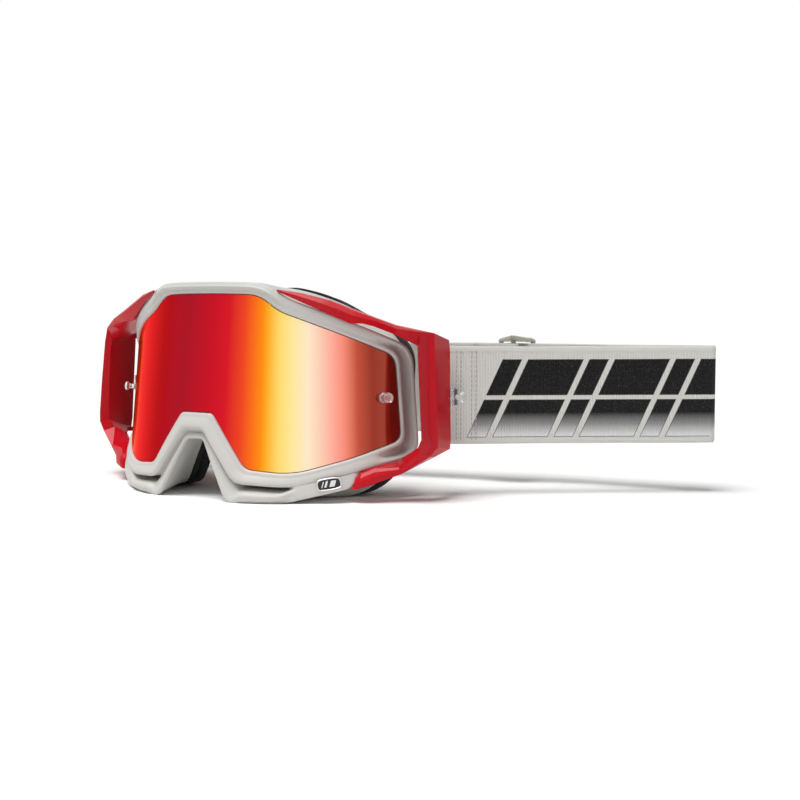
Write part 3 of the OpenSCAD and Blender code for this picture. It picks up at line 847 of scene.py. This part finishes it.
def make_vent_foams():
    """Filter strips behind the vents; a station is arc, lower and upper height, back and front."""
    strips = (("top", [(s, 33.0, 35.0, -20, -9) for s in range(-32, 33, 4)]),
              ("low_left", [(-s, -50.0, -48.0, -17, -8) for s in range(27, 46, 3)]),
              ("low_right", [(s, -50.0, -48.0, -17, -8) for s in range(27, 46, 3)]))
    for name, stations in strips:
        bm = bmesh.new()
        capped_rows(bm, [[on_lens((s, h, n)) for h, n in ((low, back), (low, front),
                                                          (high, front), (high, back))]
                         for s, low, high, back, front in stations])
        bmesh.ops.subdivide_edges(bm, edges=bm.edges[:], cuts=2, use_grid_fill=True)
        for v in bm.verts:
            v.co += noise.noise_vector(v.co * VENT_LUMPS) * VENT_LUMP_DEPTH
        foam = finish_mesh(bm, "vent_filter_" + name, VENT_FOAM)
        subdivided(foam, 1)
        place(foam, ROOT, "foam", "vent_foam_" + name)


def make_gasket():
    """The soft ring between the seat and the lens, with a ridge in its middle."""
    bm = bmesh.new()
    rows = [lens_row(LENS_EDGE, -0.6, -SEAT - 0.1), lens_row(LENS_EDGE, -0.6, -SEAT - GASKET_T),
            lens_row(LENS_EDGE, -SEAT_W, -SEAT - GASKET_T), lens_row(LENS_EDGE, -SEAT_W, -SEAT - 0.1),
            lens_row(LENS_EDGE, -(SEAT_W + 0.6) / 2, -SEAT)]
    bridge_rows(bm, rows, round_again=True)
    place(finish_mesh(bm, "seat_gasket", GASKET_RUBBER), ROOT, "gasket", "lens_gasket")


# ---------------------------------------------------------------- strap
FRONT_ANGLE, STUB_ANGLE = math.radians(35.5), math.radians(72.5)
FRONT_RUN, SLIDER_FROM_FOLD = 126.0, 94.0
FOLD_R, BEND_R, STUB = 2.6, 25.0, 6.0
# How far the two sewn ends run back from their bars, and the room round bars and in the slider
BAND_END, TAIL_END = 22.0, 20.0
WRAP_GAP, SLIDER_GAP = 0.05, 0.3
WRAP_R = BAR_R + WRAP_GAP + STRAP_T / 2
TAIL_BEND_R = BEND_R - 2 * WRAP_R
STRAP_Z = LENS_Z - 14.4
SLIDER_BAR_R = 1.2
LOOP_R = SLIDER_BAR_R + WRAP_GAP + STRAP_T / 2
LOOP_SIDE = -(STRAP_T + SLIDER_GAP) - LOOP_R


def along(a):
    """The direction at an angle, seen from above."""
    return Vector((math.cos(a), math.sin(a)))


def across(a):
    """The direction a quarter turn to the left of an angle."""
    return Vector((-math.sin(a), math.cos(a)))


def tangent_angle(start, start_r, end, end_r):
    """The direction of the straight run that leaves one bend and meets the next, both on its right."""
    gap = end - start
    return math.atan2(gap.y, gap.x) - math.asin((start_r - end_r) / gap.length)


RIGHT_BAR, LEFT_BAR = Vector(BAR_AT), Vector((-BAR_AT[0], BAR_AT[1]))
FOLD_AT = RIGHT_BAR + FRONT_RUN * along(FRONT_ANGLE) + (FOLD_R - WRAP_R) * across(FRONT_ANGLE)
BEND_AT = LEFT_BAR + STUB * along(STUB_ANGLE) - (WRAP_R + TAIL_BEND_R) * across(STUB_ANGLE)
BACK_ANGLE = tangent_angle(BEND_AT, BEND_R, FOLD_AT, FOLD_R)
BACK_END = FOLD_AT + FOLD_R * across(BACK_ANGLE)
SLIDER_AT = BACK_END - SLIDER_FROM_FOLD * along(BACK_ANGLE)
LOOP_AT = SLIDER_AT + LOOP_SIDE * across(BACK_ANGLE)
TAIL_ANGLE = tangent_angle(BEND_AT, TAIL_BEND_R, LOOP_AT, LOOP_R)


STRAIGHT_STEP, BEND_STEP = 2.5, 9.0


def straight(a, b):
    """Points along a straight run."""
    count = max(2, round((b - a).length / STRAIGHT_STEP))
    return [mix(a, b, k / count) for k in range(count + 1)]


def bend(centre, radius, first, last):
    """Points round a bend, between two directions from its centre."""
    count = max(3, round(abs(math.degrees(last - first)) / BEND_STEP))
    return [centre + radius * along(first + (last - first) * k / count) for k in range(count + 1)]


def joined(*runs):
    """Runs in a row without doubled points."""
    path = []
    for run in runs:
        path += [p for p in run if not path or (p - path[-1]).length > 1e-4]
    return path


# Height across a selvedge and the share of the strap's thickness there
SELVEDGE = ((0.0, 0.55), (0.5, 0.9), (1.6, 1.05), (2.6, 0.95), (3.0, 0.9))
# The inner face's heights in the map start here, so the print stays on the outer face
INNER_FACE_V = 200.0


def add_webbing(bm, path, waves):
    """A flat band of webbing along a path seen from above, with soft selvedges."""
    uv = bm.loops.layers.uv.new("along")
    heights = [h for h, _ in SELVEDGE] + [3.0 + 39.0 * k / 12 for k in range(1, 12)]
    heights += [STRAP_W - h for h, _ in reversed(SELVEDGE)]
    swell = dict(SELVEDGE) | {STRAP_W - h: share for h, share in SELVEDGE}
    facts, rows, length = {}, [], 0.0
    for i, here in enumerate(path):
        before, after = path[max(0, i - 1)], path[min(len(path) - 1, i + 1)]
        way = (after - before).normalized()
        normal = Vector((way.y, -way.x))
        length += (here - path[i - 1]).length if i else 0.0
        wave = waves * (math.sin(length / 19.0) + 0.6 * math.sin(length / 7.3 + 1.0))
        row = []
        for face in (1, -1):
            for v in (heights if face > 0 else reversed(heights)):
                half = STRAP_T / 2 * swell.get(v, 1.0) * 0.92
                p = here + normal * half * face
                edge = (v - STRAP_W / 2) / (STRAP_W / 2)
                row.append((Vector((p.x, p.y, STRAP_Z - STRAP_W / 2 + v + wave * edge * 0.5)),
                            (length, v + (0.0 if face > 0 else INNER_FACE_V))))
        rows.append(row)
    edges = []
    for row in rows:
        verts = [bm.verts.new(p * MM) for p, _ in row]
        facts.update({v: fact for v, (_, fact) in zip(verts, row)})
        edges.append([bm.edges.new(pair) for pair in zip(verts, verts[1:] + verts[:1])])
    for a, b in zip(edges, edges[1:]):
        bmesh.ops.bridge_loops(bm, edges=a + b)
    cap(bm, edges[0])
    cap(bm, edges[-1])
    for face in bm.faces:
        for corner in face.loops:
            corner[uv].uv = facts[corner.vert]


EASE_STEPS = (0.25, 0.5, 0.75, 1.0)


def strap_band_path():
    """From the sewn end round the right bar, the fold, the back bend and the left bar."""
    f, b, s = FRONT_ANGLE, BACK_ANGLE, STUB_ANGLE
    quarter = math.pi / 2
    back = RIGHT_BAR + WRAP_R * across(f)
    sewn_end = RIGHT_BAR + (STRAP_T * 0.5 + STRAP_T * 0.55 - WRAP_R) * across(f) + BAND_END * along(f)
    ease = [mix(back, sewn_end, t) + across(f) * 1.2 * math.sin(math.pi * t) * (1 - t) for t in EASE_STEPS]
    return joined(list(reversed([back] + ease)),
                  bend(RIGHT_BAR, WRAP_R, f + quarter, f + 3 * quarter),
                  straight(RIGHT_BAR - WRAP_R * across(f), FOLD_AT - FOLD_R * across(f)),
                  bend(FOLD_AT, FOLD_R, f - quarter, b + quarter),
                  straight(BACK_END, BEND_AT + BEND_R * across(b)),
                  bend(BEND_AT, BEND_R, b + quarter, s + quarter),
                  straight(BEND_AT + BEND_R * across(s), LEFT_BAR + WRAP_R * across(s)),
                  bend(LEFT_BAR, WRAP_R, s + quarter, s + 3 * quarter),
                  straight(LEFT_BAR - WRAP_R * across(s), BEND_AT + TAIL_BEND_R * across(s)))


def strap_tail_path():
    """From the back bend to the slider's centre bar and round it."""
    s, t = STUB_ANGLE, TAIL_ANGLE
    quarter = math.pi / 2
    inside = LOOP_AT - LOOP_R * across(t)
    end = LOOP_AT + (LOOP_R - STRAP_T * 1.05) * across(t) - TAIL_END * along(t)
    ease = [mix(inside, end, k) - across(t) * 0.9 * math.sin(math.pi * k) * (1 - k) for k in EASE_STEPS]
    return joined(bend(BEND_AT, TAIL_BEND_R, s + quarter, t + quarter),
                  straight(BEND_AT + TAIL_BEND_R * across(t), LOOP_AT + LOOP_R * across(t)),
                  bend(LOOP_AT, LOOP_R, t + quarter, t - quarter), ease)


def make_strap():
    """The printed band, and the band's own end, which stretches between frame and slider."""
    bm = bmesh.new()
    add_webbing(bm, strap_band_path(), 0.12)
    place(finish_mesh(bm, "strap_webbing", WEBBING_PRINTED), ROOT, "webbing", "strap_band")
    bm = bmesh.new()
    add_webbing(bm, strap_tail_path(), 0.0)
    tail = finish_mesh(bm, "strap_tail_webbing", WEBBING_PLAIN)
    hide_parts("strap_tail")
    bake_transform(tail)


GRIP_HEIGHTS, GRIP_FROM, GRIP_RUN, GRIP_STEPS = (-15, 0, 15), 34, FRONT_RUN - 46, 60
GRIP_SECTION = ((-0.25, -0.6), (0.1, -0.5), (0.3, 0.0), (0.1, 0.5), (-0.25, 0.6))


def make_grips():
    """Rubbery wavy lines along the inside of the front run."""
    bm = bmesh.new()
    side = (STRAP_T / 2 + 0.22 - WRAP_R) * across(FRONT_ANGLE)
    for z in GRIP_HEIGHTS:
        rows = []
        for k in range(GRIP_STEPS + 1):
            p = RIGHT_BAR + side + (GRIP_FROM + GRIP_RUN * k / GRIP_STEPS) * along(FRONT_ANGLE)
            rise = math.sin(k * 0.55) * 0.9
            corners = [(p + out * across(FRONT_ANGLE), h) for out, h in GRIP_SECTION]
            rows.append([(corner.x, corner.y, STRAP_Z + z + rise + h) for corner, h in corners])
        capped_rows(bm, rows)
    place(finish_mesh(bm, "grip_lines", GRIP_RUBBER), ROOT, "grip", "strap_grips")


THREAD_R, STITCH_PITCH, STITCH_HALF = 0.22, 2.2, 0.9
STITCH_ROWS = (8.0, 10.0, 15.0, 17.0)


def add_stitch(bm, a, b):
    """A short stitch of thread that dips into the cloth at both ends."""
    made = bmesh.ops.create_uvsphere(bm, u_segments=8, v_segments=5, radius=THREAD_R * MM)["verts"]
    way = Vector(b) - Vector(a)
    stretch = Matrix.Scale(way.length / (2 * THREAD_R), 4, (0, 0, 1))
    turn = Vector((0, 0, 1)).rotation_difference(way.normalized()).to_matrix().to_4x4()
    middle = Matrix.Translation((Vector(a) + Vector(b)) / 2 * MM)
    bmesh.ops.transform(bm, matrix=middle @ turn @ stretch, verts=made)


def make_stitches():
    """Four rows of thread through the sewn end, seen on both faces."""
    bm = bmesh.new()
    out = across(FRONT_ANGLE)
    for t in STITCH_ROWS:
        for k in range(-9, 10):
            for depth in (-(WRAP_R + STRAP_T / 2), -(WRAP_R - STRAP_T * 1.5)):
                p = RIGHT_BAR + t * along(FRONT_ANGLE) + depth * out
                z = STRAP_Z + k * STITCH_PITCH
                add_stitch(bm, (p.x, p.y, z - STITCH_HALF), (p.x, p.y, z + STITCH_HALF))
    place(finish_mesh(bm, "bar_tack_thread", THREAD), ROOT, "thread", "end_stitches")


SLIDER_W, PLATE_END_R, PLATE_NOSE_R = 19.0, 1.4, 1.9
OUTER_BAR_Y = STRAP_T / 2 + SLIDER_GAP + SLIDER_BAR_R
PLATE_ROWS = ((1.3, 1.3, 0.0), (1.98, 1.0, 0.0), (3.06, 1.5, 0.05), (3.6, 1.7, 0.14))


def make_slider():
    """Two arched end plates joined by three bars; a plate's row is height, arch and shrink."""
    bm = bmesh.new()
    half, plate_at = SLIDER_W / 2, STRAP_W / 2 + 0.4
    bar_x = half - PLATE_END_R
    outline = []
    for cx, cy, r, first, last in ((bar_x, OUTER_BAR_Y, PLATE_END_R, -60, 90),
                                   (-bar_x, OUTER_BAR_Y, PLATE_END_R, 90, 240),
                                   (0, LOOP_SIDE, PLATE_NOSE_R, 232, 308)):
        turns = [math.radians(first + (last - first) * k / 8) for k in range(9)]
        outline += [Vector((cx, cy)) + r * along(turn) for turn in turns]
    for sign in (1, -1):
        capped_rows(bm, [[(p.x * (1 - shrink), p.y,
                           sign * (plate_at + height - arch * (p.x / half) ** 2)) for p in outline]
                         for height, arch, shrink in PLATE_ROWS])
    for x, y, past_strap in ((-bar_x, OUTER_BAR_Y, 2.4), (bar_x, OUTER_BAR_Y, 2.4), (0.0, LOOP_SIDE, 4.4)):
        made = bmesh.ops.create_cone(bm, cap_ends=True, segments=24, radius1=SLIDER_BAR_R * MM,
                                     radius2=SLIDER_BAR_R * MM, depth=(STRAP_W + past_strap) * MM)["verts"]
        bmesh.ops.translate(bm, vec=Vector((x, y, 0)) * MM, verts=made)
    middle = Matrix.Translation(Vector((SLIDER_AT.x, SLIDER_AT.y, STRAP_Z)) * MM)
    bmesh.ops.transform(bm, matrix=middle @ Matrix.Rotation(BACK_ANGLE, 4, "Z"), verts=bm.verts[:])
    slider = finish_mesh(bm, "length_slider", SLIDER_PLASTIC)
    rounded(slider, 0.4, 2, 35)
    place(slider, SLIDER_BODY, "slider", "strap_slider")


# ---------------------------------------------------------------- badge
BADGE_ARC, BADGE_UP, BADGE_OUT, BADGE_TURN = 65.5, -50.0, 2.7, math.radians(12)
BADGE_CORNERS = ((-4.4, -1.2), (-3.4, -1.8), (3.8, -1.8), (4.5, -0.8),
                 (4.3, 1.2), (3, 1.7), (-3.6, 1.7), (-4.5, 0.6))
# How far the rim's rows stand out from the outline, and their heights
RIM_ROWS = ((0.0, 0.0), (0.0, 0.7), (-0.15, 0.95), (-0.4, 1.0), (-0.6, 0.8), (-0.65, 0.4), (-0.65, 0.0))


def badge_piece(bm, name, finish):
    """Puts a mesh made flat round the origin on the frame's band, and finishes it."""
    foot = on_lens((BADGE_ARC, BADGE_UP, BADGE_OUT))
    out = (on_lens((BADGE_ARC, BADGE_UP, BADGE_OUT + 1)) - foot).normalized()
    side = (on_lens((BADGE_ARC + 1, BADGE_UP, BADGE_OUT)) - foot).normalized()
    turn = Matrix((side, out.cross(side), out)).transposed().to_4x4()
    where = Matrix.Translation(foot * MM) @ turn @ Matrix.Rotation(BADGE_TURN, 4, "Z")
    bmesh.ops.transform(bm, matrix=where, verts=bm.verts[:])
    return finish_mesh(bm, name, finish)


def badge_outline(d):
    """The badge's corners, moved out by d."""
    row = []
    for x, y in BADGE_CORNERS:
        p, out = Vector((x, y)), Vector((math.copysign(1.0 + d, x), math.copysign(1.0 + d, y)))
        row.append(p + p.normalized() * 0.2 + out)
    return row


def make_badge():
    """A silver rim round a black plate with three plain slanted bars."""
    bm = bmesh.new()
    bridge_rows(bm, [[(p.x, p.y, z) for p in badge_outline(d)] for d, z in RIM_ROWS], round_again=True)
    bezel = badge_piece(bm, "badge_rim", BADGE_SILVER)
    subdivided(bezel, 2)
    place(bezel, ROOT, "bezel", "badge_bezel")
    bm = bmesh.new()
    capped_rows(bm, [[(p.x, p.y, z) for p in badge_outline(-0.6)] for z in (0.75, 0.3)])
    plate = badge_piece(bm, "badge_face", BADGE_BLACK)
    rounded(plate, 0.15, 2, 30)
    place(plate, ROOT, "badge", "badge_plate")
    bm = bmesh.new()
    for x, width in ((-3.2, 0.5), (-1.9, 1.0), (0.4, 2.4)):
        bar = [(x - 0.5, -1.3), (x + width - 0.5, -1.3), (x + width + 0.6, 1.3), (x + 0.6, 1.3)]
        capped_rows(bm, [[(px, py, z) for px, py in bar] for z in (0.7, 0.92)])
    bars = badge_piece(bm, "badge_bars", BADGE_SILVER)
    rounded(bars, 0.06, 2, 30)
    place(bars, ROOT, "bezel")


make_frame()
make_lens()
make_posts()
make_outriggers()
make_tab_posts()
make_foams()
make_vent_foams()
make_gasket()
make_strap()
make_grips()
make_stitches()
make_slider()
make_badge()


# ---------------------------------------------------------------- floor and light
# The sky's strength on matt surfaces; the camera and glossy surfaces see it at full strength
SKY = 0.10
GOGGLES_MIDDLE = (0.03, 0.03, 0.05)


def make_floor():
    bm = bmesh.new()
    bmesh.ops.create_grid(bm, x_segments=4, y_segments=4, size=4.0)
    paint = material("floor_paint", Roughness=1.0, Specular_IOR_Level=0.0,
                     Base_Color=(0.97, 0.97, 0.97, 1.0))[0]
    floor = finish_mesh(bm, "floor", paint)


def aim(light, where, target):
    """Puts a light in the scene at a place, turned to a target."""
    bpy.context.scene.collection.objects.link(light)
    light.location = where
    light.rotation_euler = (Vector(target) - Vector(where)).to_track_quat("-Z", "Y").to_euler()


def area_light(name, where, size, power):
    """A soft box that isn't seen in reflections."""
    lamp = bpy.data.lights.new(name, "AREA")
    lamp.shape = "RECTANGLE"
    lamp.size, lamp.size_y = size
    lamp.energy = power
    light = bpy.data.objects.new(name, lamp)
    light.visible_glossy = False
    aim(light, where, GOGGLES_MIDDLE)


def make_light():
    """A white sky, a broad soft light from above and in front, and two small softboxes."""
    world = bpy.data.worlds.new("studio")
    bpy.context.scene.world = world
    world.use_nodes = True
    s = Shader(world.node_tree)
    sky = world.node_tree.nodes["Background"]
    path = s.node("ShaderNodeLightPath")
    seen = s.math("MAXIMUM", path.outputs["Is Camera Ray"], path.outputs["Is Glossy Ray"])
    s.put(s.plus(s.times(seen, 1.0 - SKY), SKY), sky.inputs["Strength"])
    sky.inputs["Color"].default_value = (1.0, 1.0, 1.0, 1.0)
    sun = bpy.data.lights.new("overhead", "SUN")
    sun.energy = 3.15
    sun.angle = math.radians(36)
    aim(bpy.data.objects.new("overhead", sun), (-0.1, -0.32, 1.0), (0, 0, 0))
    area_light("front_softbox", (-0.1, -1.4, 0.22), (1.2, 0.36), 0.9)
    area_light("right_softbox", (1.1, -0.4, 0.45), (0.3, 0.8), 1.8)
    bpy.context.scene.view_settings.view_transform = "Standard"


make_floor()
make_light()
